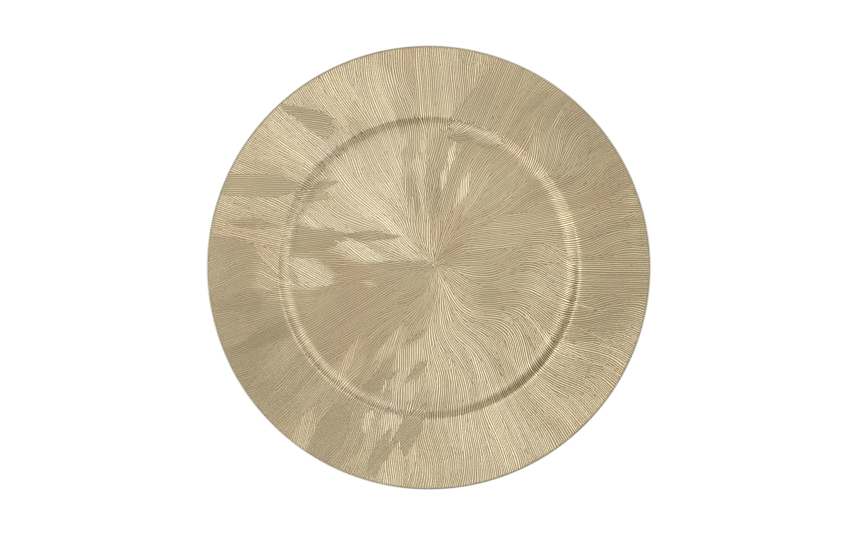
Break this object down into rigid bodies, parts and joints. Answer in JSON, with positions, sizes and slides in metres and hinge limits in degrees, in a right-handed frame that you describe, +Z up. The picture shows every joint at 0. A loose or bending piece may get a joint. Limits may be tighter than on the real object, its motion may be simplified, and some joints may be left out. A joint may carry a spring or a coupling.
{
  "type": "decorative charger plate",
  "caption": "Round decorative charger plate with a shallow flat well, a stepped shoulder, a wide sloping rim, a combed gold face foil and a foot ring.",
  "frame": {"origin": "centre of the foot ring's tread, on the surface that the plate stands on", "axes": "+Z up along the plate's axis, out of the decorated face; +X to the right and +Y to the top of the picture"},
  "size_m": [0.33, 0.33, 0.0177],
  "materials": {
    "face_foil": "metallised champagne gold foil, embossed with fine combed lines, satin",
    "core": "plain moulded plastic, hidden inside",
    "back_foil": "plain metallised gold foil, satin",
    "edge_band": "smooth metallised gold, semi-gloss",
    "foot_ring": "plain gold-lacquered plastic, matt on the tread"
  },
  "bodies": {
    "root": {"face_foil": "face_foil", "moulded_core": "core", "back_foil": "back_foil", "edge_band": "edge_band", "foot_ring": "foot_ring"}
  },
  "joints": []
}
